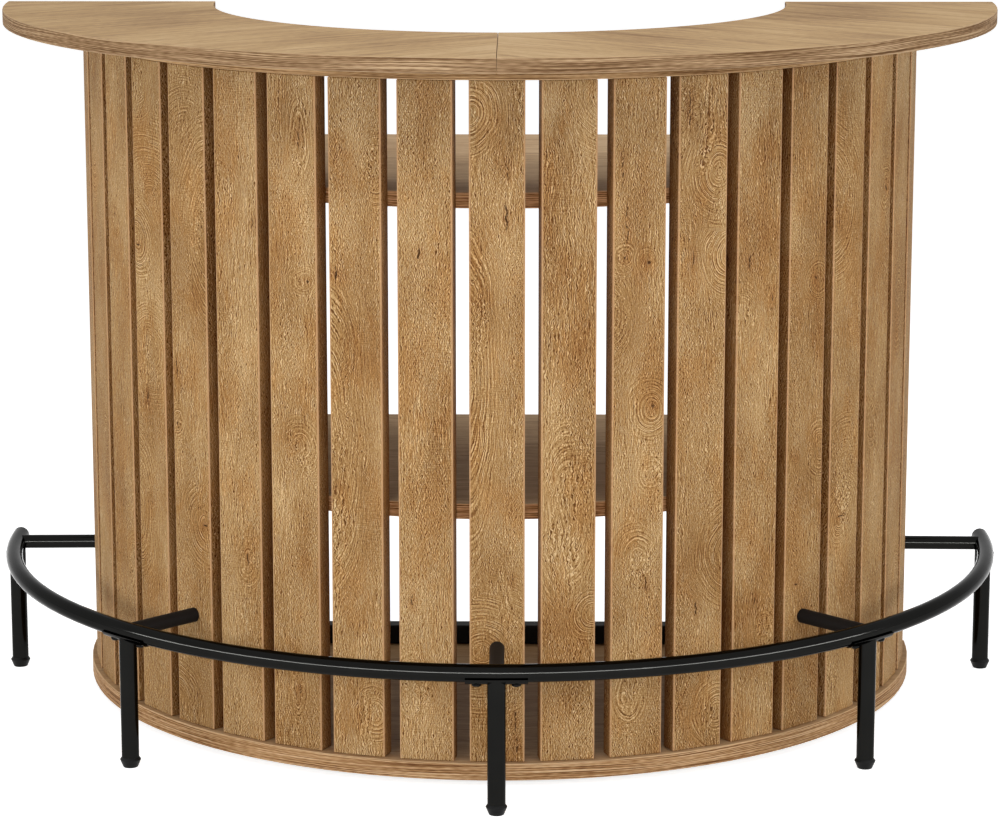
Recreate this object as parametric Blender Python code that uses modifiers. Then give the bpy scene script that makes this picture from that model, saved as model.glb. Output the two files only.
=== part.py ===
import math

import bmesh
import bpy
from mathutils import Matrix

# Semicircular bar table. The slatted front faces -Y and the open side faces +Y. Pieces are drawn round
# the centre of the half circle, on the floor, and their parent then puts the origin under the middle of
# the whole table. Angles run round the half circle from the front centre, positive towards +X.

# Fits, in metres
FIT_GAP = 0.0003
WELD_DISTANCE = 0.00002
CUTTER_REACH = 0.004

# Height of the counter, and the stack that makes it up with the slats
COUNTER_HEIGHT = 1.042
FOOT_HEIGHT = 0.010
BASE_THICKNESS = 0.025
RING_THICKNESS = 0.022
TOP_THICKNESS = 0.022

# Plan of the boards
BACK_PLANE = 0.013
TOP_RADIUS = 0.750
TOP_INNER_RADIUS = 0.434
TOP_SEAM = 0.0004
RING_LIP = 0.002
BASE_LEDGE = 0.0085
BOARD_ROUND = 0.0012
ARC_STEP = math.radians(3.0)

# Slats
SLAT_FACE_RADIUS = 0.630
SLAT_WIDTH = 0.077
SLAT_THICKNESS = 0.028
SLAT_ROUND = 0.0012
OPEN_SLATS_EACH_SIDE = 2
OPEN_GAP = 0.0183
LEAST_SIDE_GAP = 0.012

# Shelves: the middle one's upper face above the floor, the upper one's below the under-top ring
SHELF_THICKNESS = 0.022
MIDDLE_SHELF_HEIGHT = 0.4015
UPPER_SHELF_DROP = 0.158
SHELF_SETBACK = 0.012

# Square-tube frame of the open side
FRAME_TUBE = 0.030
FRAME_WALL = 0.0015
FRAME_CORNER = 0.003
CORNER_STEPS = 3

# Foot rail, bent from the same tube as its legs
TUBE_DIAMETER = 0.0255
TUBE_WALL = 0.0015
RAIL_REACH = 0.125
RAIL_HEIGHT = 0.201
RAIL_PAST_SADDLE = 0.001
RAIL_STEP = math.radians(3.0)
JOINER_LENGTH = 0.060
JOINER_CLEARANCE = 0.0006
PLUG_DOME = 0.004
PLUG_SHANK = 0.014
PLUG_SHOULDER_SPAN = 0.6
PLUG_SHOULDER_RISE = 0.8
STANDOFF_DIAMETER = 0.021
ROUND_SIDES = 16
SHARP_ANGLE = math.radians(40.0)

# Rail legs, each with a saddle that cups the rail up to lips a little below the rail's axis
MIDDLE_LEG_ANGLE = math.radians(45.0)
END_LEG_ANGLE = math.radians(88.6)
SADDLE_LENGTH = 0.085
SADDLE_THICKNESS = 0.0024
SADDLE_LIP_DROP = 0.006
SADDLE_BITE = 0.001

# Foot caps on the legs
CAP_HEIGHT = 0.0145
CAP_FLARE_HEIGHT = 0.0035
CAP_FLARE_DIAMETER = 0.0305
CAP_TOE_DIAMETER = 0.021
CAP_SHANK = 0.018

# Feet under the base
FOOT_TOP_DIAMETER = 0.033
FOOT_TOE_DIAMETER = 0.022
FRONT_FOOT_INSET = 0.0365
SIDE_FOOT_INSET = 0.062
SIDE_FOOT_ANGLE = math.radians(48.0)
REAR_FOOT_INSET = 0.040
REAR_FOOT_END_INSET = 0.1185

# Colours and finishes
OAK_FACE = (0.40, 0.24, 0.10)
OAK_TOP = (0.50, 0.32, 0.15)
OAK_INSIDE = (0.33, 0.20, 0.09)
OAK_ROUGHNESS = 0.60
TOP_ROUGHNESS = 0.45
BLACK_STEEL = (0.012, 0.012, 0.012)
STEEL_ROUGHNESS = 0.40
STEEL_METALLIC = 0.6
BLACK_PLASTIC = (0.010, 0.010, 0.010)
PLASTIC_ROUGHNESS = 0.55

# Values worked out from the sizes above
base_bottom = FOOT_HEIGHT
base_top = base_bottom + BASE_THICKNESS
ring_top = COUNTER_HEIGHT - TOP_THICKNESS
ring_bottom = ring_top - RING_THICKNESS
slat_length = ring_bottom - base_top - 2 * FIT_GAP
slat_middle = (base_top + ring_bottom) / 2
base_radius = SLAT_FACE_RADIUS + BASE_LEDGE
ring_radius = SLAT_FACE_RADIUS + RING_LIP
ring_inner_radius = TOP_INNER_RADIUS + RING_LIP
slat_back_radius = SLAT_FACE_RADIUS - SLAT_THICKNESS
shelf_radius = slat_back_radius - FIT_GAP
rail_radius = SLAT_FACE_RADIUS + RAIL_REACH
tube_outer = TUBE_DIAMETER / 2
tube_bore = tube_outer - TUBE_WALL
rail_room = tube_outer + FIT_GAP
rod_length = RAIL_REACH + CUTTER_REACH
saddle_outer = rail_room + SADDLE_THICKNESS
saddle_bottom = RAIL_HEIGHT - saddle_outer
saddle_lip = RAIL_HEIGHT - SADDLE_LIP_DROP
rail_end = END_LEG_ANGLE + (SADDLE_LENGTH / 2 + RAIL_PAST_SADDLE) / rail_radius


def polar(radius, angle):
    return radius * math.sin(angle), -radius * math.cos(angle)


def back_angle(radius):
    # Angle at which a circle round the origin meets the plane of the open side
    return math.pi / 2 + math.asin(BACK_PLANE / radius)


def arc(radius, start, end):
    count = max(2, math.ceil(abs(end - start) / ARC_STEP))
    return [polar(radius, start + (end - start) * i / count) for i in range(count + 1)]


def slat_layout():
    # The middle slats stand further apart. The others share the arc up to the plane of the open side,
    # where the last slat's outer edge lies, and there are as many as fit with the least gap.
    def pitch_for(gap):
        return 2 * math.atan((SLAT_WIDTH + gap) / 2 / slat_back_radius)

    half = SLAT_WIDTH / 2
    edge_radius = math.hypot(SLAT_FACE_RADIUS, half)
    last = math.asin(BACK_PLANE / edge_radius) + math.atan2(SLAT_FACE_RADIUS, half)
    open_pitch = pitch_for(OPEN_GAP)
    side_arc = last - OPEN_SLATS_EACH_SIDE * open_pitch
    side_count = math.floor(side_arc / pitch_for(LEAST_SIDE_GAP))
    angles = [open_pitch * i for i in range(OPEN_SLATS_EACH_SIDE + 1)]
    angles += [angles[-1] + side_arc * i / side_count for i in range(1, side_count + 1)]
    return [-a for a in reversed(angles[1:])] + angles


def middle_of_depth():
    # How far the whole table's middle lies in front of the half circle's centre
    front = rail_radius + CAP_FLARE_DIAMETER / 2
    past = rail_end - math.pi / 2
    plug_tip = rail_radius * math.sin(past) + PLUG_DOME * math.cos(past)
    return (front - max(plug_tip, BACK_PLANE)) / 2


def clear_scene():
    for old in list(bpy.data.objects):
        bpy.data.objects.remove(old, do_unlink=True)


def make_collection(name):
    collection = bpy.data.collections.new(name)
    bpy.context.scene.collection.children.link(collection)
    return collection


def make_material(name, colour, roughness, metallic=0.0):
    material = bpy.data.materials.new(name)
    material.use_nodes = True
    surface = material.node_tree.nodes["Principled BSDF"]
    surface.inputs["Base Color"].default_value = (*colour, 1.0)
    surface.inputs["Roughness"].default_value = roughness
    surface.inputs["Metallic"].default_value = metallic
    return material


clear_scene()
parts = make_collection("bar_table")
cutters = make_collection("cutters")
slat_oak = make_material("slat_oak", OAK_FACE, OAK_ROUGHNESS)
top_oak = make_material("top_oak", OAK_TOP, TOP_ROUGHNESS)
shelf_oak = make_material("shelf_oak", OAK_INSIDE, OAK_ROUGHNESS)
steel = make_material("black_steel", BLACK_STEEL, STEEL_ROUGHNESS, STEEL_METALLIC)
plastic = make_material("black_plastic", BLACK_PLASTIC, PLASTIC_ROUGHNESS)
table = bpy.data.objects.new("bar_table", None)
table.location.y = middle_of_depth()
parts.objects.link(table)


def add_piece(name, data, material):
    piece = bpy.data.objects.new(name, data)
    piece.parent = table
    data.materials.append(material)
    parts.objects.link(piece)
    return piece


def add_cutter(name, data):
    cutter = bpy.data.objects.new(name, data)
    cutter.hide_render = True
    cutter.display_type = "WIRE"
    cutter.parent = table
    cutters.objects.link(cutter)
    return cutter


def combine(piece, other, operation):
    boolean = piece.modifiers.new(other.name, "BOOLEAN")
    boolean.operation = operation
    boolean.object = other


def flat_curve(name, outlines, thickness, rounding):
    curve = bpy.data.curves.new(name, "CURVE")
    curve.dimensions = "2D"
    curve.fill_mode = "BOTH"
    curve.extrude = thickness / 2 - rounding
    curve.bevel_depth = rounding
    curve.bevel_resolution = 1
    curve.offset = -rounding
    for outline in outlines:
        spline = curve.splines.new("POLY")
        spline.points.add(len(outline) - 1)
        for point, (x, y) in zip(spline.points, outline):
            point.co = (x, y, 0.0, 1.0)
        spline.use_cyclic_u = True
    return curve


def weld(piece):
    modifier = piece.modifiers.new("Weld", "WELD")
    modifier.merge_threshold = WELD_DISTANCE


def add_board(name, outline, bottom, thickness, material):
    board = add_piece(name, flat_curve(name, [outline], thickness, BOARD_ROUND), material)
    board.location.z = bottom + thickness / 2
    weld(board)
    return board


def rounded_square(size, corner):
    reach = size / 2 - corner
    points = []
    for quarter, (sx, sy) in enumerate(((1, -1), (1, 1), (-1, 1), (-1, -1))):
        for i in range(CORNER_STEPS + 1):
            x, y = polar(corner, (quarter + i / CORNER_STEPS) * math.pi / 2)
            points.append((sx * reach + x, sy * reach + y))
    return points


def add_square_tube(name, length):
    inside = rounded_square(FRAME_TUBE - 2 * FRAME_WALL, FRAME_CORNER - FRAME_WALL)
    outlines = [rounded_square(FRAME_TUBE, FRAME_CORNER), inside]
    tube = add_piece(name, flat_curve(name, outlines, length, 0.0), steel)
    weld(tube)
    return tube


def store(shape, name):
    bmesh.ops.recalc_face_normals(shape, faces=shape.faces)
    mesh = bpy.data.meshes.new(name)
    shape.to_mesh(mesh)
    shape.free()
    return mesh


def box_mesh(name, size):
    shape = bmesh.new()
    bmesh.ops.create_cube(shape, size=1.0, matrix=Matrix.Diagonal((*size, 1.0)))
    return store(shape, name)


def ring_section(outer, inner):
    section = bmesh.new()
    bmesh.ops.create_circle(section, cap_ends=inner == 0.0, radius=outer, segments=ROUND_SIDES)
    if inner > 0.0:
        bmesh.ops.create_circle(section, cap_ends=False, radius=inner, segments=ROUND_SIDES)
        bmesh.ops.bridge_loops(section, edges=section.edges)
    return section


def saddle_section():
    # The saddle before the rail's room is cut from it: a round bar, cut off level with the lips
    section = ring_section(saddle_outer, 0.0)
    everything = section.verts[:] + section.edges[:] + section.faces[:]
    lip = (0.0, -SADDLE_LIP_DROP, 0.0)
    up = (0.0, 1.0, 0.0)
    bmesh.ops.bisect_plane(section, geom=everything, plane_co=lip, plane_no=up, clear_outer=True)
    return section


def sweep(section, name, height, start, end):
    # Turns a section, drawn with x outwards and y up, round the half circle at the rail's radius
    upright = Matrix.Rotation(math.pi / 2, 4, "X")
    outwards = Matrix.Rotation(-math.pi / 2, 4, "Z")
    to_rail = Matrix.Translation((0.0, -rail_radius, height))
    place = Matrix.Rotation(start, 4, "Z") @ to_rail @ outwards @ upright
    bmesh.ops.transform(section, matrix=place, verts=section.verts)
    steps = max(2, math.ceil((end - start) / RAIL_STEP))
    everything = section.verts[:] + section.edges[:] + section.faces[:]
    bmesh.ops.spin(section, geom=everything, axis=(0, 0, 1), angle=end - start, steps=steps)
    mesh = store(section, name)
    mesh.shade_smooth()
    mesh.set_sharp_from_angle(angle=SHARP_ANGLE)
    return mesh


def rod_mesh(name, radius):
    # A round rod that lies along y
    shape = bmesh.new()
    lie_down = Matrix.Rotation(math.pi / 2, 4, "X")
    bmesh.ops.create_cone(
        shape,
        cap_ends=True,
        segments=ROUND_SIDES,
        radius1=radius,
        radius2=radius,
        depth=rod_length,
        matrix=lie_down,
    )
    mesh = store(shape, name)
    mesh.shade_smooth()
    mesh.set_sharp_from_angle(angle=SHARP_ANGLE)
    return mesh


def place_rod(rod, angle):
    # From inside the slat to the middle of the rail
    rod.location = (*polar(rail_radius - rod_length / 2, angle), RAIL_HEIGHT)
    rod.rotation_euler.z = angle


def turned_mesh(name, profile):
    mesh = bpy.data.meshes.new(name)
    edges = [(i, i + 1) for i in range(len(profile) - 1)]
    mesh.from_pydata([(radius, 0.0, z) for radius, z in profile], edges, [])
    return mesh


def turn(piece):
    screw = piece.modifiers.new("Screw", "SCREW")
    screw.steps = ROUND_SIDES
    screw.render_steps = ROUND_SIDES
    screw.use_merge_vertices = True
    screw.merge_threshold = WELD_DISTANCE
    screw.use_smooth_shade = True


def side_name(angle):
    return "left" if angle < 0 else "right"


def add_counter_top():
    for side, hand in (("left", -1), ("right", 1)):
        seam_outer = math.asin(TOP_SEAM / 2 / TOP_RADIUS)
        seam_inner = math.asin(TOP_SEAM / 2 / TOP_INNER_RADIUS)
        outline = arc(TOP_RADIUS, seam_outer, back_angle(TOP_RADIUS))
        outline += arc(TOP_INNER_RADIUS, back_angle(TOP_INNER_RADIUS), seam_inner)
        outline = [(hand * x, y) for x, y in outline]
        add_board("counter_top_" + side, outline, ring_top + FIT_GAP, TOP_THICKNESS - FIT_GAP, top_oak)


def add_under_top_ring():
    outer = back_angle(ring_radius)
    inner = back_angle(ring_inner_radius)
    outline = arc(ring_radius, -outer, outer) + arc(ring_inner_radius, inner, -inner)
    add_board("under_top_ring", outline, ring_bottom, RING_THICKNESS, top_oak)


def add_base():
    end = back_angle(base_radius)
    add_board("base_board", arc(base_radius, -end, end), base_bottom, BASE_THICKNESS, slat_oak)


def post_outer_x(angles):
    # The post's outer face lies just inside the back of the last slat, at the post's front corner
    last = angles[-1]
    front = BACK_PLANE - FRAME_TUBE
    return (slat_back_radius + front * math.cos(last)) / math.sin(last) - FIT_GAP


def add_shelves(angles):
    notch_x = post_outer_x(angles) - FRAME_TUBE - FIT_GAP
    notch_y = BACK_PLANE - FRAME_TUBE - FIT_GAP
    back_y = BACK_PLANE - SHELF_SETBACK
    end = math.acos(-notch_y / shelf_radius)
    outline = [(-notch_x, back_y), (-notch_x, notch_y)]
    outline += arc(shelf_radius, -end, end)
    outline += [(notch_x, notch_y), (notch_x, back_y)]
    upper_height = ring_bottom - UPPER_SHELF_DROP
    for name, height in (("middle_shelf", MIDDLE_SHELF_HEIGHT), ("upper_shelf", upper_height)):
        add_board(name, outline, height - SHELF_THICKNESS, SHELF_THICKNESS, shelf_oak)


def add_slats(angles):
    for number, angle in enumerate(angles, start=1):
        name = f"slat_{number:02d}"
        slat = add_piece(name, box_mesh(name, (SLAT_WIDTH, SLAT_THICKNESS, slat_length)), slat_oak)
        x, y = polar(SLAT_FACE_RADIUS - SLAT_THICKNESS / 2, angle)
        slat.location = (x, y, slat_middle)
        slat.rotation_euler.z = angle
        bevel = slat.modifiers.new("Bevel", "BEVEL")
        bevel.width = SLAT_ROUND
        bevel.segments = 1


def add_rear_frame(angles):
    centre_y = BACK_PLANE - FRAME_TUBE / 2
    post_x = post_outer_x(angles) - FRAME_TUBE / 2
    for side, hand in (("left", -1), ("right", 1)):
        post = add_square_tube("rear_post_" + side, slat_length)
        post.location = (hand * post_x, centre_y, slat_middle)
    bar = add_square_tube("rear_bar", 2 * (post_x - FRAME_TUBE / 2 - FIT_GAP))
    bar.location = (0.0, centre_y, base_top + FIT_GAP + FRAME_TUBE / 2)
    bar.rotation_euler.y = math.pi / 2


def add_rail():
    joint = FIT_GAP / 2 / rail_radius
    for side, start, stop in (("left", -rail_end, -joint), ("right", joint, rail_end)):
        name = "foot_rail_" + side
        add_piece(name, sweep(ring_section(tube_outer, tube_bore), name, RAIL_HEIGHT, start, stop), steel)
    inside = tube_bore - JOINER_CLEARANCE
    reach = JOINER_LENGTH / 2 / rail_radius
    core = sweep(ring_section(inside, 0.0), "rail_joiner", RAIL_HEIGHT, -reach, reach)
    add_piece("rail_joiner", core, steel)
    shoulder = (tube_outer * PLUG_SHOULDER_SPAN, PLUG_DOME * PLUG_SHOULDER_RISE)
    profile = [(0.0, PLUG_DOME), shoulder, (tube_outer, FIT_GAP)]
    profile += [(inside, FIT_GAP), (inside, -PLUG_SHANK), (0.0, -PLUG_SHANK)]
    for angle in (-rail_end, rail_end):
        name = "rail_end_plug_" + side_name(angle)
        plug = add_piece(name, turned_mesh(name, profile), plastic)
        turn(plug)
        plug.location = (*polar(rail_radius, angle), RAIL_HEIGHT)
        outwards = math.pi / 2 if angle > 0 else -math.pi / 2
        plug.rotation_euler = (0.0, outwards, angle)


def leg_stations(angles):
    middle = min(angles, key=lambda a: abs(a - MIDDLE_LEG_ANGLE))
    return (
        ("end_left", -END_LEG_ANGLE, angles[0]),
        ("middle_left", -middle, -middle),
        ("centre", 0.0, 0.0),
        ("middle_right", middle, middle),
        ("end_right", END_LEG_ANGLE, angles[-1]),
    )


def add_rail_room():
    reach = rail_end + CUTTER_REACH / rail_radius
    room = sweep(ring_section(rail_room, 0.0), "rail_room", RAIL_HEIGHT, -reach, reach)
    return add_cutter("rail_room", room)


def add_legs(stations, room):
    top = saddle_lip - SADDLE_BITE
    bottom = CAP_HEIGHT + FIT_GAP
    lid = saddle_bottom - TUBE_WALL
    tube = [(0.0, top), (tube_outer, top), (tube_outer, bottom)]
    tube += [(tube_bore, bottom), (tube_bore, lid), (0.0, lid)]
    shank = tube_bore - FIT_GAP
    toe = CAP_TOE_DIAMETER / 2
    flare = CAP_FLARE_DIAMETER / 2
    cap = [(0.0, CAP_HEIGHT + CAP_SHANK), (shank, CAP_HEIGHT + CAP_SHANK), (shank, CAP_HEIGHT)]
    cap += [(tube_outer, CAP_HEIGHT), (flare, CAP_HEIGHT - CAP_FLARE_HEIGHT), (toe, 0.0), (0.0, 0.0)]
    reach = SADDLE_LENGTH / 2 / rail_radius
    for place, angle, _ in stations:
        leg = add_piece("leg_" + place, turned_mesh("leg_" + place, tube), steel)
        turn(leg)
        leg.location = (*polar(rail_radius, angle), 0.0)
        name = "saddle_" + place
        saddle = add_cutter(name, sweep(saddle_section(), name, RAIL_HEIGHT, angle - reach, angle + reach))
        name = "rod_room_" + place
        rod_room = add_cutter(name, rod_mesh(name, STANDOFF_DIAMETER / 2 + FIT_GAP))
        place_rod(rod_room, angle)
        combine(leg, saddle, "UNION")
        combine(leg, room, "DIFFERENCE")
        combine(leg, rod_room, "DIFFERENCE")
        foot = add_piece("foot_cap_" + place, turned_mesh("foot_cap_" + place, cap), plastic)
        turn(foot)
        foot.location = leg.location


def add_standoffs(stations, room):
    for place, angle, slat_angle in stations:
        name = "standoff_" + place
        rod = add_piece(name, rod_mesh(name, STANDOFF_DIAMETER / 2), steel)
        place_rod(rod, angle)
        depth = SLAT_THICKNESS + 2 * FIT_GAP
        seat_size = (SLAT_WIDTH + 2 * FIT_GAP, depth, STANDOFF_DIAMETER + 2 * CUTTER_REACH)
        seat = add_cutter("slat_room_" + place, box_mesh("slat_room_" + place, seat_size))
        seat.location = (*polar(SLAT_FACE_RADIUS + FIT_GAP - depth / 2, slat_angle), RAIL_HEIGHT)
        seat.rotation_euler.z = slat_angle
        combine(rod, room, "DIFFERENCE")
        combine(rod, seat, "DIFFERENCE")


def add_base_feet():
    side_radius = base_radius - SIDE_FOOT_INSET
    rear_x = base_radius - REAR_FOOT_END_INSET
    rear_y = BACK_PLANE - REAR_FOOT_INSET
    places = (
        ("front", polar(base_radius - FRONT_FOOT_INSET, 0.0)),
        ("side_left", polar(side_radius, -SIDE_FOOT_ANGLE)),
        ("side_right", polar(side_radius, SIDE_FOOT_ANGLE)),
        ("rear_left", (-rear_x, rear_y)),
        ("rear_centre", (0.0, rear_y)),
        ("rear_right", (rear_x, rear_y)),
    )
    top = FOOT_HEIGHT - FIT_GAP
    brim = FOOT_TOP_DIAMETER / 2
    toe = FOOT_TOE_DIAMETER / 2
    profile = [(0.0, top), (brim, top), (brim, top - BOARD_ROUND), (toe, 0.0), (0.0, 0.0)]
    for place, (x, y) in places:
        name = "base_foot_" + place
        foot = add_piece(name, turned_mesh(name, profile), plastic)
        turn(foot)
        foot.location = (x, y, 0.0)


slat_angles = slat_layout()
leg_places = leg_stations(slat_angles)
add_counter_top()
add_under_top_ring()
add_slats(slat_angles)
add_shelves(slat_angles)
add_base()
add_rear_frame(slat_angles)
add_rail()
rail_cutter = add_rail_room()
add_legs(leg_places, rail_cutter)
add_standoffs(leg_places, rail_cutter)
add_base_feet()
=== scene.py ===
import math

import bpy
from mathutils import Matrix, Vector


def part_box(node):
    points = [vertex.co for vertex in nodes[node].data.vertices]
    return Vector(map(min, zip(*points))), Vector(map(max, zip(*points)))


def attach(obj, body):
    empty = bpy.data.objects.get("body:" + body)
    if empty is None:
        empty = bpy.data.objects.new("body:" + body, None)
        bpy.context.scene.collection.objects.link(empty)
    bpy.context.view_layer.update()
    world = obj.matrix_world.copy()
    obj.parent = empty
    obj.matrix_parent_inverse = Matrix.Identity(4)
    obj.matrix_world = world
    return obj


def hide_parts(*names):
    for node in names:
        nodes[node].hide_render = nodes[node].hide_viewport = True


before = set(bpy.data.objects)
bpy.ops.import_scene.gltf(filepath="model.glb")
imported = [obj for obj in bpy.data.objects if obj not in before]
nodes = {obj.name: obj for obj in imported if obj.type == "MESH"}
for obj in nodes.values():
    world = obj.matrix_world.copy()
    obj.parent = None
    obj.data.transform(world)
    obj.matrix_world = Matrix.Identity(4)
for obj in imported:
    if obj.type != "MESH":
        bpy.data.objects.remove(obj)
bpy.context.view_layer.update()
bpy.ops.object.select_all(action="DESELECT")
print("frame:", len(nodes), "nodes")

# the half circle's centre, how far out the slats stand, half their width, and the rail's axis
plan = {"centreY": 0.3706, "slatFace": 0.630, "slatHalf": 0.0385,
        "railRadius": 0.755, "railHeight": 0.201}


class Wire:
    # one socket of a material, and the operators that add Math nodes to it
    def __init__(self, tree, socket=None):
        self.tree = tree
        self.socket = socket

    def node(self, kind, settings, values, out=0):
        made = self.tree.nodes.new(kind)
        for name, value in settings.items():
            if name == "stops":
                fillRamp(made.color_ramp, value)
            else:
                setattr(made, name, value)
        for key, value in values.items():
            if isinstance(value, Wire):
                self.tree.links.new(value.socket, made.inputs[key])
            else:
                made.inputs[key].default_value = value
        return Wire(self.tree, made.outputs[out])

    def out(self, name):
        return Wire(self.tree, self.socket.node.outputs[name])

    def math(self, operation, first, second=0.0):
        return self.node("ShaderNodeMath", {"operation": operation}, {0: first, 1: second})

    def __add__(self, other):
        return self.math("ADD", self, other)

    def __radd__(self, other):
        return self.math("ADD", other, self)

    def __sub__(self, other):
        return self.math("SUBTRACT", self, other)

    def __rsub__(self, other):
        return self.math("SUBTRACT", other, self)

    def __mul__(self, other):
        return self.math("MULTIPLY", self, other)

    def __rmul__(self, other):
        return self.math("MULTIPLY", other, self)

    def __abs__(self):
        return self.math("ABSOLUTE", self)

    def larger(self, other):
        return self.math("MAXIMUM", self, other)

    def angleTo(self, other):
        return self.math("ARCTAN2", self, other)

    def sine(self):
        return self.math("SINE", self)

    def step(self, low, high):
        settings = {"interpolation_type": "SMOOTHSTEP"}
        values = {"Value": self, "From Min": low, "From Max": high}
        return self.node("ShaderNodeMapRange", settings, values)

    def vector(self, x, y, z):
        return self.node("ShaderNodeCombineXYZ", {}, {0: x, 1: y, 2: z})

    def noise(self, x, y, z, detail=0.0, roughness=0.5):
        values = {"Vector": self.vector(x, y, z), "Scale": 1.0,
                  "Detail": detail, "Roughness": roughness}
        return self.node("ShaderNodeTexNoise", {}, values)

    def distanceFrom(self, u, z, spanU, spanZ):
        # distance of this point from a spot, in spans
        spot = {"Vector": self, "Location": (u, z, 0.0), "Scale": (spanU, spanZ, 1.0)}
        near = self.node("ShaderNodeMapping", {"vector_type": "TEXTURE"}, spot)
        return self.node("ShaderNodeVectorMath", {"operation": "LENGTH"}, {0: near}, "Value")

    def ramp(self, stops):
        return self.node("ShaderNodeValToRGB", {"stops": stops}, {0: self})

    def blend(self, first, second, kind="MIX"):
        # this value mixes two colours
        settings = {"data_type": "RGBA", "blend_type": kind}
        return self.node("ShaderNodeMix", settings, {0: self, 6: first, 7: second}, 2)

    def place(self):
        return self.node("ShaderNodeTexCoord", {}, {}, "Object")

    def facing(self):
        return self.node("ShaderNodeTexCoord", {}, {}, "Normal").split()

    def split(self):
        parts = self.node("ShaderNodeSeparateXYZ", {}, {0: self})
        return parts, parts.out("Y"), parts.out("Z")


def shade(red, green, blue):
    # a colour given 0 to 255, made linear
    picked = [c / 255 for c in (red, green, blue)]
    linear = [c / 12.92 if c <= 0.04045 else ((c + 0.055) / 1.055) ** 2.4 for c in picked]
    return (*linear, 1.0)


def fillRamp(ramp, stops):
    while len(ramp.elements) < len(stops):
        ramp.elements.new(0.5)
    for element, (position, colour) in zip(ramp.elements, stops):
        element.position = position
        element.color = shade(*colour)


def newMaterial(name, fixed):
    material = bpy.data.materials.new(name)
    material.use_nodes = True
    surface = material.node_tree.nodes["Principled BSDF"]
    for socket, value in fixed.items():
        surface.inputs[socket].default_value = value
    return material, Wire(material.node_tree), surface


def finish(wire, surface, colour, roughness, height, relief):
    # colour, roughness and relief into the surface's own sockets
    strength, distance = relief
    raised = {"Strength": strength, "Distance": distance, "Height": height}
    bump = wire.node("ShaderNodeBump", {}, raised)
    for socket, value in (("Base Color", colour), ("Roughness", roughness), ("Normal", bump)):
        wire.tree.links.new(value.socket, surface.inputs[socket])


def dress(name, material):
    for holder in nodes[name].material_slots:
        holder.material = material


# upright slats: printed oak, each strip cut from another place of the print
slatOak = {
    "count": 21,
    "fixed": {"Specular IOR Level": 0.06},
    "colours": ((0.00, (100, 62, 27)), (0.14, (124, 83, 42)), (0.30, (144, 104, 58)),
                (0.50, (164, 127, 79)), (0.70, (181, 144, 95)), (0.86, (197, 161, 111)),
                (1.00, (217, 187, 141))),
    # a painted highlight along the slats' front arrises
    "arrisHighlight": (200, 157, 114),
    "arrisHighlightShare": 0.8,
    "arrisFrom": (0.0028, 0.0014),  # inwards from the slat's edge
    "crack": (70, 41, 18),
    "halo": (0.80, 0.66, 0.52, 1.0),
    "haloShare": 0.55,
    "haloSpan": (0.010, 0.012),  # past the crack, across and up
    "stain": (0.93, 0.83, 0.71, 1.0),
    # painted shade under the counter: a grey cast multiplied into the slats near their tops
    "underCounterShade": (0.99, 1.06, 1.16, 1.0),
    "underCounterShadeFrom": (0.86, 0.99),  # heights, under the counter
    # painted shade on the slats' sides in the gaps, more of it deeper inwards
    "side": (0.68, 0.52, 0.37, 1.0),
    "sideShadeShare": (0.6, 14),  # at the face, and more for each metre inwards
    "sideFrom": (0.001, 0.002),
    "eyeHole": (0.004, 0.012),  # the quiet middle of an eye
    "eyeFade": (0.5, 1.15),  # in reaches
    "eyeEdge": (1.05, 1.15),
    "ringGap": 0.0049,
    "ringWobble": (4.0, 3.0),
    "bulge": 0.30,
    "roughness": (0.52, 0.2),
    "relief": (0.30, 0.0005),
    "seedStep": 1.37,
    # how fast the strokes change from one side of the slat to the other
    "deep": {"flecks": 30, "turns": 24},
    # where in a layer's noise its marks start and are full
    "cuts": {"patchy": (0.30, 0.54), "gaps": (0.34, 0.58), "short": (0.36, 0.64),
             "pores": (0.60, 0.74), "sawnPlaces": (0.50, 0.72), "stained": (0.47, 0.64),
             "broken": (0.36, 0.5)},
    # noise to the metre, across the slat and up it
    "scales": {"drift": (9, 2.6), "sway": (45, 20), "crook": (300, 220), "wobble": (42, 30),
               "patchy": (24, 12), "gaps": (95, 70), "specks": (1250, 230), "strands": (1050, 60),
               "short": (22, 9), "turns": (1100, 24), "lines": (500, 38), "pores": (820, 110),
               "sawn": (80, 760), "sawnPlaces": (14, 8), "patches": (13, 5.5), "grit": (560, 460),
               "stained": (17, 8), "jag": (40, 90), "broken": (260, 120)},
    # how far a layer bends the grain, the eyes and the cracks, in metres
    "bend": {"drift": 0.018, "sway": 0.0045, "crook": 0.0034, "eyeSway": 0.008, "eyeDrift": 0.035,
             "eyeCrook": 0.0010, "jag": 0.009},
    # how much each layer counts in the tone, which runs from 0, dark, to 1, pale
    "middle": 0.52,
    "share": {"flecks": 1.95, "grit": 0.6, "lines": 0.22, "sawn": 0.30, "patches": 0.9,
              "pores": 0.10, "rings": 0.21},
}


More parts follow.
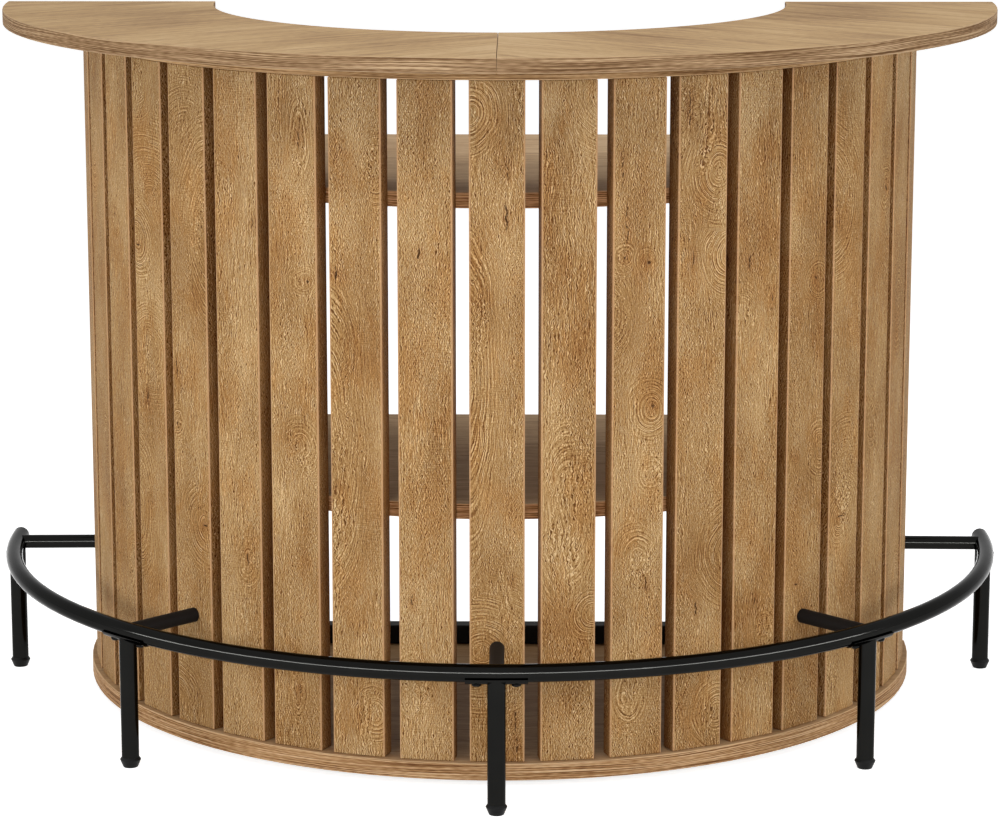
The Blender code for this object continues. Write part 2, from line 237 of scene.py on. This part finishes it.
def makeSlatOak(name, angle, seed, look):
    material, wire, surface = newMaterial(name, slatOak["fixed"])
    turned = {"Vector": wire.place(), "Location": (0.0, plan["centreY"], 0.0),
              "Rotation": (0.0, 0.0, angle)}
    u, w, v = wire.node("ShaderNodeMapping", {"vector_type": "TEXTURE"}, turned).split()
    depth = w + plan["slatFace"]
    inward = depth.step(*slatOak["sideFrom"])
    across = u + depth
    bend, share, cuts, deep = slatOak["bend"], slatOak["share"], slatOak["cuts"], slatOak["deep"]

    def cloud(kind, layer, detail=0.0, roughness=0.5, along=across, slide=(0.0, 0.0)):
        # noise at the scale of one layer, slid across or upwards
        scaleU, scaleV = slatOak["scales"][kind]
        x, y = along * scaleU, v * scaleV
        x = x + slide[0] if slide[0] else x
        y = y + slide[1] if slide[1] else y
        return wire.noise(x, y, layer, detail, roughness)

    def strokes(kind, layer, along, slide=(0.5, 0.0)):
        # two clouds a little apart, one taken from the other, leave thin strokes
        back = (-slide[0], -slide[1])
        first = cloud(kind, layer, along=along, slide=slide)
        return first - cloud(kind, layer, along=along, slide=back)

    # crooked upright grain that bulges round each eye
    drift = cloud("drift", seed * 3, 1.0, slide=(seed, 0.0)) - 0.5
    sway = cloud("sway", seed, slide=(0.0, seed)) - 0.5
    crook = cloud("crook", seed + 6) - 0.5
    field = across + bend["drift"] * drift + bend["sway"] * sway
    spread = wire.vector(across + bend["eyeSway"] * sway, v + bend["eyeDrift"] * drift, 0.0)
    wide, narrow = slatOak["ringWobble"]
    wobble = wide * (cloud("wobble", seed, 1.0) - 0.5) + narrow * crook
    patchy = cloud("patchy", seed + 8, slide=(seed, 0.0)).step(*cuts["patchy"])
    patchy = patchy * (0.5 + 0.5 * cloud("gaps", seed + 9).step(*cuts["gaps"]))
    whorl = swirl = 0.0 * across
    for eyeU, eyeZ, tall, reach, strength in look.get("eyes", ()):
        far = spread.distanceFrom(eyeU, eyeZ, 1.0, tall)
        fade = [part * reach for part in slatOak["eyeFade"]]
        edge = [part * reach for part in slatOak["eyeEdge"]]
        inside = far.step(*slatOak["eyeHole"]) * (1 - far.step(*fade))
        field = field - slatOak["bulge"] * inside * (across - eyeU)
        whorl = whorl + (1 - far.step(*edge)) * (far - whorl)
        swirl = (inside * patchy * strength).larger(swirl)
    swirl = swirl * (1 - inward)
    field = field + bend["crook"] * crook
    # short specks or longer strands on the straight grain, turns and rings in the eyes
    specks = strokes("specks", across * deep["flecks"] + seed, field)
    strands = strokes("strands", across * deep["flecks"] + seed, field)
    short = cloud("short", seed + 4).step(*cuts["short"])
    flecks = specks * (0.4 + 0.6 * short) + strands * (0.85 - 0.75 * short)
    turns = strokes("turns", across * deep["turns"] + seed, whorl + bend["eyeCrook"] * crook)
    flecks = flecks + swirl * (0.9 * turns - flecks)
    rings = swirl * (whorl * (2 * math.pi / slatOak["ringGap"]) + wobble).sine()
    lines = cloud("lines", seed, along=field, slide=(0.0, seed))
    pores = cloud("pores", seed + 2, along=field).step(*cuts["pores"])
    # saw marks cross the grain in places
    sawn = strokes("sawn", seed, across, (0.0, 0.5))
    sawn = sawn * cloud("sawnPlaces", seed + 7, slide=(0.0, seed)).step(*cuts["sawnPlaces"])
    patches = cloud("patches", seed, 2.0, 0.55, slide=(seed, 0.0)) - 0.5
    grit = cloud("grit", seed + 11, 1.0) - 0.5
    tone = slatOak["middle"] + look.get("tone", 0.0) + share["flecks"] * flecks
    tone = tone + share["grit"] * grit + share["lines"] * (lines - 0.5) + share["sawn"] * sawn
    tone = tone + share["patches"] * patches - share["pores"] * pores + share["rings"] * rings
    colour = tone.ramp(slatOak["colours"])
    stained = cloud("stained", seed + 5, 3.0, 0.6, slide=(seed * 2, 0.0)) + 0.30 * (lines - 0.5)
    colour = stained.step(*cuts["stained"]).blend(colour, slatOak["stain"], "MULTIPLY")
    if look.get("cracks"):
        colour = addCracks(wire, colour, look["cracks"], across, v, field, seed)
    # painted shade under the counter, greyer towards the slats' tops
    colour = v.step(*slatOak["underCounterShadeFrom"]).blend(colour, slatOak["underCounterShade"], "MULTIPLY")
    # painted highlight along the arrises, and painted shade on the sides, darker deeper into the gaps
    rim = abs(u).step(*[plan["slatHalf"] - inset for inset in slatOak["arrisFrom"]])
    arrisGlint = rim * (1 - inward) * slatOak["arrisHighlightShare"]
    colour = arrisGlint.blend(colour, shade(*slatOak["arrisHighlight"]))
    # painted shade on the sides, darker deeper into the gap
    atFace, perMetre = slatOak["sideShadeShare"]
    colour = (rim * inward * (atFace + depth * perMetre)).blend(colour, slatOak["side"], "MULTIPLY")
    smooth, rougher = slatOak["roughness"]
    height = flecks * 1.2 + lines + 0.2 * rings - pores
    finish(wire, surface, colour, smooth + rougher * lines, height, slatOak["relief"])
    return material


def addCracks(wire, colour, cracks, across, v, field, seed):
    # ragged dark splits, each in a darker halo
    jagU, jagV = slatOak["scales"]["jag"]
    jag = wire.noise(v * jagV, across * jagU, seed, 1.0) - 0.5
    ragged = wire.vector(across + slatOak["bend"]["jag"] * jag, v, 0.0)
    haloU, haloV = slatOak["haloSpan"]
    near = split = 0.0
    for crackU, crackZ, halfWidth, halfLength in cracks:
        halo = ragged.distanceFrom(crackU, crackZ, halfWidth + haloU, halfLength + haloV)
        near = near + 1 - halo.step(0.15, 1.1)
        gap = ragged.distanceFrom(crackU, crackZ, 0.6 * halfWidth, 1.2 * halfLength)
        split = split + 1 - gap.step(0.5, 1.0)
    brokenU, brokenV = slatOak["scales"]["broken"]
    broken = wire.noise(field * brokenU, v * brokenV, seed + 3).step(*slatOak["cuts"]["broken"])
    colour = (near * slatOak["haloShare"]).blend(colour, slatOak["halo"], "MULTIPLY")
    return (split * broken).blend(colour, shade(*slatOak["crack"]))


# eyes: across, height, how tall for its width, reach and strength
# cracks: across, height, half width and half length
slatLooks = {
    2: {
        "tone": -0.02,
        "eyes": ((0.01, 0.7, 1.6, 0.042, 0.48), (-0.02, 0.33, 1.5, 0.04, 0.48)),
    },
    3: {
        "tone": -0.01,
        "eyes": ((-0.02, 0.84, 1.7, 0.055, 0.64), (0.02, 0.42, 1.3, 0.04, 0.48)),
    },
    4: {
        "eyes": ((-0.01, 0.76, 1.4, 0.024, 0.48), (0.03, 0.25, 1.3, 0.042, 0.64)),
        "cracks": ((-0.012, 0.765, 0.003, 0.009),),
    },
    5: {
        "eyes": ((0.01, 0.8, 1.0, 0.16, 0.64), (0.0, 0.58, 1.0, 0.1, 0.64),
                 (-0.045, 0.34, 2.0, 0.075, 0.8), (-0.05, 0.985, 1.0, 0.08, 0.8),
                 (-0.03, 0.735, 1.15, 0.062, 1.0)),
        "cracks": ((-0.026, 0.727, 0.016, 0.0014), (-0.01, 0.505, 0.004, 0.012)),
    },
    6: {
        "eyes": ((0.0, 0.89, 1.0, 0.13, 0.56), (0.06, 0.76, 1.7, 0.1, 0.8),
                 (-0.03, 0.475, 1.3, 0.022, 0.8), (0.028, 0.335, 1.25, 0.062, 1.0),
                 (-0.04, 0.06, 1.1, 0.08, 0.96)),
        "cracks": ((-0.028, 0.562, 0.0022, 0.015), (-0.03, 0.475, 0.0045, 0.008),
                   (0.029, 0.338, 0.011, 0.0014)),
    },
    7: {
        "tone": 0.05,
        "eyes": ((-0.032, 0.83, 1.3, 0.044, 0.48), (0.013, 0.3, 1.5, 0.03, 0.64)),
        "cracks": ((0.03, 0.787, 0.0016, 0.011), (0.013, 0.305, 0.0026, 0.014)),
    },
    8: {
        "eyes": ((0.012, 0.91, 3.0, 0.026, 0.8), (0.018, 0.712, 0.75, 0.036, 0.64),
                 (0.01, 0.48, 1.15, 0.042, 0.64), (0.0, 0.12, 3.0, 0.024, 0.8)),
        "cracks": ((0.024, 0.712, 0.005, 0.003), (0.012, 0.912, 0.0016, 0.02),
                   (0.004, 0.118, 0.0016, 0.014)),
    },
    9: {
        "eyes": ((-0.05, 0.5, 3.4, 0.09, 0.64), (0.032, 0.872, 1.45, 0.044, 1.0),
                 (0.024, 0.095, 1.2, 0.044, 1.0)),
        "cracks": ((-0.028, 0.725, 0.003, 0.01),),
    },
    10: {
        "eyes": ((-0.02, 0.14, 1.6, 0.042, 0.48),),
        "cracks": ((-0.008, 0.755, 0.0028, 0.013), (-0.02, 0.265, 0.0018, 0.012)),
    },
    11: {
        "eyes": ((-0.02, 0.2, 1.0, 0.13, 0.8), (-0.046, 0.58, 4.6, 0.06, 1.0),
                 (-0.036, 0.955, 1.3, 0.056, 1.0)),
        "cracks": ((0.014, 0.875, 0.002, 0.013), (0.013, 0.81, 0.0034, 0.02),
                   (0.021, 0.3, 0.0016, 0.009), (0.026, 0.1, 0.0028, 0.022),
                   (0.028, 0.06, 0.003, 0.012)),
    },
    12: {
        "tone": -0.03,
        "eyes": ((0.06, 0.98, 1.0, 0.11, 0.64), (0.0, 0.4, 2.8, 0.06, 0.56),
                 (0.035, 0.24, 1.05, 0.044, 0.8)),
    },
    13: {
        "eyes": ((-0.05, 0.67, 1.6, 0.056, 0.56), (-0.022, 0.748, 1.05, 0.026, 0.64),
                 (0.012, 0.742, 1.05, 0.022, 0.64), (0.018, 0.54, 1.15, 0.046, 0.96),
                 (0.02, 0.45, 1.2, 0.03, 0.64), (-0.001, 0.33, 1.3, 0.044, 0.8),
                 (-0.01, 0.13, 2.0, 0.036, 0.64)),
        "cracks": ((-0.025, 0.875, 0.0018, 0.03), (-0.019, 0.8, 0.0016, 0.034),
                   (-0.021, 0.749, 0.0035, 0.004), (0.013, 0.742, 0.005, 0.003),
                   (0.02, 0.54, 0.0045, 0.004), (0.013, 0.285, 0.0018, 0.012)),
    },
    14: {
        "eyes": ((0.05, 0.32, 1.3, 0.072, 0.96), (0.0, 0.9, 1.0, 0.11, 0.48),
                 (0.045, 0.74, 1.1, 0.062, 1.0), (0.026, 0.855, 1.3, 0.056, 1.0),
                 (0.032, 0.08, 1.25, 0.052, 1.0)),
        "cracks": ((-0.022, 0.95, 0.002, 0.034), (-0.014, 0.742, 0.0016, 0.013),
                   (-0.005, 0.24, 0.0032, 0.018)),
    },
    15: {
        "tone": -0.01,
        "eyes": ((-0.03, 0.66, 1.3, 0.044, 0.48), (0.02, 0.2, 1.5, 0.032, 0.48)),
        "cracks": ((-0.016, 0.73, 0.0028, 0.013), (0.025, 0.67, 0.002, 0.012),
                   (0.0, 0.24, 0.0022, 0.007)),
    },
    16: {
        "tone": -0.08,
        "eyes": ((0.024, 0.69, 1.15, 0.038, 0.64), (0.034, 0.44, 1.2, 0.046, 0.8),
                 (-0.02, 0.44, 1.2, 0.02, 0.64)),
        "cracks": ((0.018, 0.693, 0.004, 0.004), (-0.02, 0.442, 0.004, 0.003),
                   (-0.014, 0.25, 0.009, 0.0016)),
    },
    17: {
        "tone": -0.01,
        "eyes": ((-0.05, 0.8, 1.3, 0.12, 0.8), (0.0, 0.41, 1.0, 0.1, 0.64),
                 (-0.008, 0.33, 1.15, 0.056, 1.0), (-0.05, 0.07, 1.25, 0.08, 0.8)),
        "cracks": ((-0.008, 0.333, 0.017, 0.0014),),
    },
    18: {
        "eyes": ((0.02, 0.8, 1.35, 0.034, 0.64), (-0.01, 0.46, 1.4, 0.042, 0.64)),
        "cracks": ((0.022, 0.8, 0.004, 0.006),),
    },
    19: {
        "tone": -0.02,
        "eyes": ((-0.001, 0.62, 1.7, 0.05, 0.64), (0.02, 0.2, 1.3, 0.042, 0.64)),
    },
    20: {
        "tone": -0.03,
        "eyes": ((-0.02, 0.77, 1.6, 0.044, 0.64), (0.01, 0.38, 1.6, 0.04, 0.48)),
    },
}


def dressSlats():
    for number in range(1, slatOak["count"] + 1):
        name = f"slat_{number:02d}"
        low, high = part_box(name)
        middle = (low + high) / 2
        angle = math.atan2(middle.x, plan["centreY"] - middle.y)
        seed = number * slatOak["seedStep"]
        dress(name, makeSlatOak("slatOak" + str(number), angle, seed, slatLooks.get(number, {})))


dressSlats()
print("slats dressed")

# counter top: lighter print, grain slanting back to the seam on both sides
topOak = {
    "seed": 2.0,
    "fixed": {"Specular IOR Level": 0.05},
    "halves": True,
    "slant": math.radians(38.0),
    "colours": ((0.00, (125, 94, 62)), (0.25, (152, 121, 87)), (0.50, (184, 152, 110)),
                (0.75, (201, 171, 131)), (1.00, (211, 188, 160))),
    "band": ((0.00, (96, 67, 39)), (0.25, (118, 88, 58)), (0.50, (142, 112, 81)),
             (0.75, (163, 133, 99)), (1.00, (190, 161, 126))),
    "relief": (0.20, 0.0004),
}

# the ring under the counter top: a copy of the top's print with its band retoned redder, as painted
# shade for its place under the overhang
shadedRingOak = {
    "seed": 4.0,
    "fixed": {"Specular IOR Level": 0.05},
    "slant": topOak["slant"],
    "colours": topOak["colours"],
    "band": ((0.00, (103, 70, 38)), (0.25, (135, 100, 61)), (0.50, (169, 132, 90)),
             (0.75, (188, 151, 106)), (1.00, (210, 174, 131))),
    "relief": (0.20, 0.0004),
}

# shelves: the same print with dark reddish edges
shelfOak = {
    "seed": 5.0,
    "fixed": {"Specular IOR Level": 0.04},
    "slant": 0.0,
    "colours": ((0.00, (140, 108, 75)), (0.30, (171, 140, 105)), (0.60, (197, 166, 130)),
                (1.00, (222, 194, 156))),
    "band": ((0.00, (110, 66, 34)), (0.25, (150, 101, 60)), (0.50, (184, 132, 86)),
             (0.75, (206, 154, 106)), (1.00, (224, 176, 128))),
    "relief": (0.25, 0.0005),
}

# base: the slats' print, grain along the straight side
baseOak = {
    "seed": 7.0,
    "fixed": {"Specular IOR Level": 0.10},
    "slant": 0.0,
    "colours": ((0.00, (118, 84, 50)), (0.30, (148, 114, 78)), (0.60, (172, 139, 101)),
                (1.00, (200, 168, 128))),
    "band": ((0.00, (108, 68, 34)), (0.25, (144, 102, 60)), (0.50, (172, 131, 88)),
             (0.75, (192, 153, 109)), (1.00, (214, 181, 141))),
    "relief": (0.25, 0.0005),
}

# the grain that all boards share
boardGrain = {
    "seam": 0.0002,
    "seamJump": 5,
    # noise to the metre, across the grain and along it
    "scales": {"crook": (120, 70), "drift": (6, 2.0), "sway": (30, 8), "broad": (4, 2.5),
               "streaks": (40, 3.2), "fine": (150, 7), "thin": (110, 2.5), "pores": (520, 60)},
    "bend": {"drift": 0.05, "sway": 0.008, "crook": 0.006},
    "share": {"broad": 0.8, "streaks": 0.6, "fine": 0.7, "pores": 0.45, "thin": 0.10},
    "thinFrom": (0.58, 0.72),
    # how level a face is, from 0 on the rim to 1 on the top
    "faceFrom": (0.45, 0.55),
    # where the painted arris highlight lies, by how level the face is
    "arrisFrom": (0.05, 0.2),
    "arrisTo": (0.9, 0.99),
    # the rim's noise to the metre, up it and along the curve
    "rimWave": (30, 6),
    "rimGrain": (780, 5),
    "rimSpecks": (900, 80),
    "rimWobble": 5.0,
    "rimShare": (2.2, 0.8),
    "arrisHighlightShare": 0.6,
    "roughness": (0.55, 0.2),
}


def makeBoardOak(name, oak):
    material, wire, surface = newMaterial(name, oak["fixed"])
    x, y, z = wire.place().split()
    side = abs(x) if oak.get("halves") else x
    cosine, sine = math.cos(oak["slant"]), math.sin(oak["slant"])
    along = y * sine - side * cosine
    across = y * cosine + side * sine
    bend, share, seed = boardGrain["bend"], boardGrain["share"], oak["seed"]
    board = seed
    if oak.get("halves"):
        board = x.step(-boardGrain["seam"], boardGrain["seam"]) * boardGrain["seamJump"] + seed

    def cloud(kind, layer, detail=0.0, roughness=0.5, wide=across):
        scaleU, scaleV = boardGrain["scales"][kind]
        return wire.noise(wide * scaleU, along * scaleV, layer, detail, roughness)

    crook = cloud("crook", board) - 0.5
    field = across + bend["drift"] * (cloud("drift", board, 1.0) - 0.5)
    field = field + bend["sway"] * (cloud("sway", board + 4) - 0.5) + bend["crook"] * crook
    broad = cloud("broad", board + 1, 1.0)
    streaks = cloud("streaks", board + 2, 2.0, 0.6, field)
    fine = cloud("fine", board + 3, 1.5, 0.6, field)
    thin = cloud("thin", board + 9, wide=field).step(*boardGrain["thinFrom"])
    pores = cloud("pores", board + 7, 1.0, wide=field)
    tone = 0.5 + share["broad"] * (broad - 0.5) + share["streaks"] * (streaks - 0.5)
    tone = tone + share["fine"] * (fine - 0.5) + share["pores"] * (pores - 0.5) - share["thin"] * thin
    face = tone.ramp(oak["colours"])
    # the banded rim, its grain along the curve
    outY = y - plan["centreY"]
    run = x.angleTo(0.0 - outY) * plan["slatFace"]
    waveUp, waveRun = boardGrain["rimWave"]
    grainUp, grainRun = boardGrain["rimGrain"]
    specksUp, specksRun = boardGrain["rimSpecks"]
    wobble = wire.noise(run * waveRun, z * waveUp, seed) - 0.5
    grain = wire.noise(z * grainUp + boardGrain["rimWobble"] * wobble, run * grainRun, seed + 5)
    specks = wire.noise(z * specksUp, run * specksRun, seed + 6)
    grainShare, specksShare = boardGrain["rimShare"]
    rim = (0.5 + grainShare * (grain - 0.5) + specksShare * (specks - 0.5)).ramp(oak["band"])
    level = abs(wire.facing()[2])
    colour = level.step(*boardGrain["faceFrom"]).blend(rim, face)
    # a painted highlight along the arris between rim and face
    arrisHighlight = level.step(*boardGrain["arrisFrom"]) * (1 - level.step(*boardGrain["arrisTo"]))
    palest = oak["band"][-1][1]
    colour = (arrisHighlight * boardGrain["arrisHighlightShare"]).blend(colour, shade(*palest))
    smooth, rougher = boardGrain["roughness"]
    finish(wire, surface, colour, smooth + rougher * fine, fine + pores + grain, oak["relief"])
    return material


def dressBoards():
    top = makeBoardOak("topOak", topOak)
    for name in ("counter_top_left", "counter_top_right"):
        dress(name, top)
    dress("under_top_ring", makeBoardOak("shadedRingOak", shadedRingOak))
    shelf = makeBoardOak("shelfOak", shelfOak)
    for name in ("middle_shelf", "upper_shelf"):
        dress(name, shelf)
    dress("base_board", makeBoardOak("baseOak", baseOak))


dressBoards()
print("boards dressed")

# black powder coat, glossy on the rail and its legs and flat on the stand-offs, and black plastic
blackSteel = {"fixed": {"Metallic": 1.0, "Specular Tint": (0.56, 0.56, 0.56, 1.0)},
              "dark": (25, 25, 24), "light": (32, 32, 31), "gloss": 0.12, "relief": (0.03, 0.0002)}
flatSteel = {"fixed": {"Specular IOR Level": 0.04},
             "dark": (24, 21, 20), "light": (31, 28, 26), "gloss": 0.55, "relief": (0.10, 0.0002)}
blackPlastic = {"fixed": {"Specular IOR Level": 0.10},
                "dark": (14, 14, 14), "light": (21, 21, 21), "gloss": 0.46, "relief": (0.12, 0.0003)}
# what all the blacks share: noise to the metre, and how much it varies the gloss
blackGrain = {"grit": 900, "cloud": 14, "varies": 0.08}


def makeBlack(name, black):
    material, wire, surface = newMaterial(name, black["fixed"])
    x, y, z = wire.place().split()
    fine, wide, varies = blackGrain["grit"], blackGrain["cloud"], blackGrain["varies"]
    grit = wire.noise(x * fine, y * fine, z * fine, 1.0)
    cloud = wire.noise(x * wide, y * wide, z * wide, 2.0)
    colour = cloud.blend(shade(*black["dark"]), shade(*black["light"]))
    roughness = black["gloss"] + varies * (grit - 0.5) + varies * (cloud - 0.5)
    finish(wire, surface, colour, roughness, grit, black["relief"])
    return material


# the round CAD nodes stand again as merged copies, so that light runs smoothly over their facets
roundPieces = {"merge": 0.00001, "smoothTo": math.radians(35.0)}


def makeRound(name, material):
    piece = bpy.data.objects.new(name + "_round", nodes[name].data.copy())
    bpy.context.scene.collection.objects.link(piece)
    bpy.ops.object.select_all(action="DESELECT")
    piece.select_set(True)
    bpy.context.view_layer.objects.active = piece
    bpy.ops.mesh.customdata_custom_splitnormals_clear()
    bpy.ops.object.mode_set(mode="EDIT")
    bpy.ops.mesh.select_all(action="SELECT")
    bpy.ops.mesh.remove_doubles(threshold=roundPieces["merge"])
    bpy.ops.object.mode_set(mode="OBJECT")
    bpy.ops.object.shade_smooth_by_angle(angle=roundPieces["smoothTo"])
    piece.data.materials.clear()
    piece.data.materials.append(material)
    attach(piece, "root")
    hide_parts(name)


steel = makeBlack("blackSteel", blackSteel)
flatBlack = makeBlack("flatSteel", flatSteel)
plastic = makeBlack("blackPlastic", blackPlastic)
for name in sorted(nodes):
    if name.startswith(("foot_cap", "base_foot", "rail_end_plug")):
        makeRound(name, plastic)
    elif name.startswith(("leg_", "foot_rail", "standoff_end")):
        makeRound(name, steel)
    elif name.startswith("standoff"):
        makeRound(name, flatBlack)
    elif name.startswith("rear_"):
        dress(name, flatBlack)
    elif name == "rail_joiner":
        dress(name, steel)
print("metal and plastic dressed")

# button-head bolts under the saddles, two to a leg
bolt = {
    "radius": 0.0073, "sides": 24, "sunk": 0.0014,
    "steps": ((0.0070, 0.0011), (0.0059, 0.0024), (0.0043, 0.0031)),  # radius and drop of the dome
    "socket": 0.0025, "socketSides": 6, "socketDepth": 0.0020,
    "spread": 0.0272,  # along the rail from the leg
    "saddleDrop": 0.01545,  # under the rail's axis
    "smoothTo": math.radians(35.0),
}


def makeBolt():
    bpy.ops.object.select_all(action="DESELECT")
    bpy.ops.mesh.primitive_circle_add(vertices=bolt["sides"], radius=bolt["radius"], fill_type="NGON")
    head = bpy.context.active_object
    bpy.ops.object.mode_set(mode="EDIT")
    bpy.ops.mesh.select_mode(type="FACE")
    bpy.ops.mesh.select_all(action="SELECT")
    bpy.ops.mesh.extrude_region_move(TRANSFORM_OT_translate={"value": (0.0, 0.0, -bolt["sunk"])})
    radius, drop = bolt["radius"], 0.0
    for nextRadius, nextDrop in bolt["steps"]:
        bpy.ops.mesh.extrude_region_move(TRANSFORM_OT_translate={"value": (0.0, 0.0, drop - nextDrop)})
        bpy.ops.transform.resize(value=(nextRadius / radius, nextRadius / radius, 1.0))
        radius, drop = nextRadius, nextDrop
    bpy.ops.mesh.select_all(action="SELECT")
    bpy.ops.mesh.normals_make_consistent(inside=False)
    bpy.ops.object.mode_set(mode="OBJECT")
    # the hex socket
    bottom = -bolt["sunk"] - drop
    bpy.ops.mesh.primitive_cylinder_add(vertices=bolt["socketSides"], radius=bolt["socket"],
                                        depth=2 * bolt["socketDepth"], location=(0.0, 0.0, bottom))
    key = bpy.context.active_object
    cut = head.modifiers.new("socket", "BOOLEAN")
    cut.object = key
    bpy.context.view_layer.objects.active = head
    bpy.ops.object.modifier_apply(modifier=cut.name)
    bpy.data.objects.remove(key, do_unlink=True)
    bpy.ops.object.select_all(action="DESELECT")
    head.select_set(True)
    bpy.ops.object.shade_smooth_by_angle(angle=bolt["smoothTo"])
    return head


def setBolts():
    head = makeBolt()
    radius = plan["railRadius"]
    level = plan["railHeight"] - bolt["saddleDrop"] + bolt["sunk"]
    for leg in [name for name in nodes if name.startswith("leg_")]:
        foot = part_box(leg.replace("leg_", "foot_cap_"))
        middle = (foot[0] + foot[1]) / 2
        angle = math.atan2(middle.x, plan["centreY"] - middle.y)
        for hand in (-1, 1):
            at = angle + hand * bolt["spread"] / radius
            spot = (radius * math.sin(at), plan["centreY"] - radius * math.cos(at), level)
            copy = head.copy()
            copy.data = head.data.copy()
            copy.data.transform(Matrix.Translation(spot) @ Matrix.Rotation(at, 4, "Z"))
            copy.name = "bolt_" + leg[4:] + ("_a" if hand < 0 else "_b")
            bpy.context.scene.collection.objects.link(copy)
            copy.data.materials.append(steel)
            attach(copy, "root")
    bpy.data.objects.remove(head, do_unlink=True)


setBolts()
print("bolts set")

# floor, lamps and camera
studio = {"floorSize": 30.0, "floorColour": 0.72, "floorLift": 0.80, "sky": 0.30}
lamps = (
    {"name": "topSoftbox", "size": (3.6, 2.0), "power": 27.5,
     "place": (0.2, 1.15, 3.6), "aim": (0.0, 0.2, 0.9)},
    {"name": "highBox", "size": (4.2, 1.4), "power": 47.0,
     "place": (0.0, -1.95, 3.35), "aim": (0.0, -0.1, 0.5)},
    {"name": "frontBox", "size": (4.2, 1.2), "power": 40.0,
     "place": (0.0, -4.4, 1.75), "aim": (0.0, 0.0, 0.6)},
    {"name": "leftBox", "size": (3.5, 1.0), "power": 74.0,
     "place": (-3.9, -2.3, 1.25), "aim": (0.0, 0.0, 0.4)},
    {"name": "rightBox", "size": (3.5, 1.0), "power": 66.0,
     "place": (3.9, -2.3, 1.4), "aim": (0.0, 0.0, 0.5)},
    # strips that only show as the thin glint on the tubes
    {"name": "frontStrip", "size": (5.2, 0.3), "power": 210.0,
     "place": (0.0, -4.0, 1.08), "aim": (0.0, 0.0, 0.2), "glint": True},
    {"name": "leftStrip", "size": (4.3, 0.3), "power": 150.0,
     "place": (-3.5, -2.05, 1.08), "aim": (0.0, 0.0, 0.2), "glint": True},
    {"name": "rightStrip", "size": (4.3, 0.3), "power": 150.0,
     "place": (3.5, -2.05, 1.08), "aim": (0.0, 0.0, 0.2), "glint": True},
)
shot = {"place": (0.0348, -5.1638, 1.5824), "pitch": 78.022, "turn": 0.359, "lens": 130.87,
        "sensor": 36.0, "sees": 100.0}


def seenDirectly(wire):
    path = wire.node("ShaderNodeLightPath", {}, {}, "Is Camera Ray")
    return path.larger(path.out("Is Glossy Ray")).larger(path.out("Is Transmission Ray"))


def makeFloor():
    bpy.ops.mesh.primitive_plane_add(size=studio["floorSize"], location=(0.0, 0.0, 0.0))
    floor = bpy.context.active_object
    floor.name = "studioFloor"
    material = bpy.data.materials.new("paleFloor")
    material.use_nodes = True
    tree = material.node_tree
    tree.nodes.clear()
    wire = Wire(tree)
    grey = (studio["floorColour"],) * 3 + (1.0,)
    paint = wire.node("ShaderNodeBsdfDiffuse", {}, {"Color": grey})
    glow = {"Color": (1.0, 1.0, 1.0, 1.0), "Strength": studio["floorLift"]}
    lift = wire.node("ShaderNodeEmission", {}, glow)
    lifted = wire.node("ShaderNodeAddShader", {}, {0: paint, 1: lift})
    mixed = wire.node("ShaderNodeMixShader", {}, {0: seenDirectly(wire), 1: paint, 2: lifted})
    output = tree.nodes.new("ShaderNodeOutputMaterial")
    tree.links.new(mixed.socket, output.inputs["Surface"])
    floor.data.materials.append(material)


def makeSky():
    world = bpy.data.worlds.new("studioSky")
    bpy.context.scene.world = world
    world.use_nodes = True
    tree = world.node_tree
    wire = Wire(tree)
    strength = seenDirectly(wire) * (1.0 - studio["sky"]) + studio["sky"]
    background = tree.nodes["Background"]
    background.inputs["Color"].default_value = (1.0, 1.0, 1.0, 1.0)
    tree.links.new(strength.socket, background.inputs["Strength"])


def aimAt(thing, target):
    away = thing.location - Vector(target)
    thing.rotation_euler = away.to_track_quat("Z", "Y").to_euler()


def makeLamps():
    for lamp in lamps:
        data = bpy.data.lights.new(lamp["name"], "AREA")
        data.shape = "RECTANGLE"
        data.size, data.size_y = lamp["size"]
        data.energy = lamp["power"]
        thing = bpy.data.objects.new(lamp["name"], data)
        bpy.context.scene.collection.objects.link(thing)
        thing.location = lamp["place"]
        aimAt(thing, lamp["aim"])
        thing.visible_camera = False
        thing.visible_glossy = lamp.get("glint", False)
        thing.visible_diffuse = not thing.visible_glossy


def makeCamera():
    data = bpy.data.cameras.new("shot")
    data.lens = shot["lens"]
    data.sensor_width = shot["sensor"]
    data.clip_end = shot["sees"]
    camera = bpy.data.objects.new("shot", data)
    bpy.context.scene.collection.objects.link(camera)
    camera.location = shot["place"]
    camera.rotation_euler = (math.radians(shot["pitch"]), 0.0, math.radians(shot["turn"]))
    bpy.context.scene.camera = camera


makeFloor()
makeSky()
makeLamps()
makeCamera()
bpy.context.scene.view_settings.view_transform = "Standard"
print("studio ready")
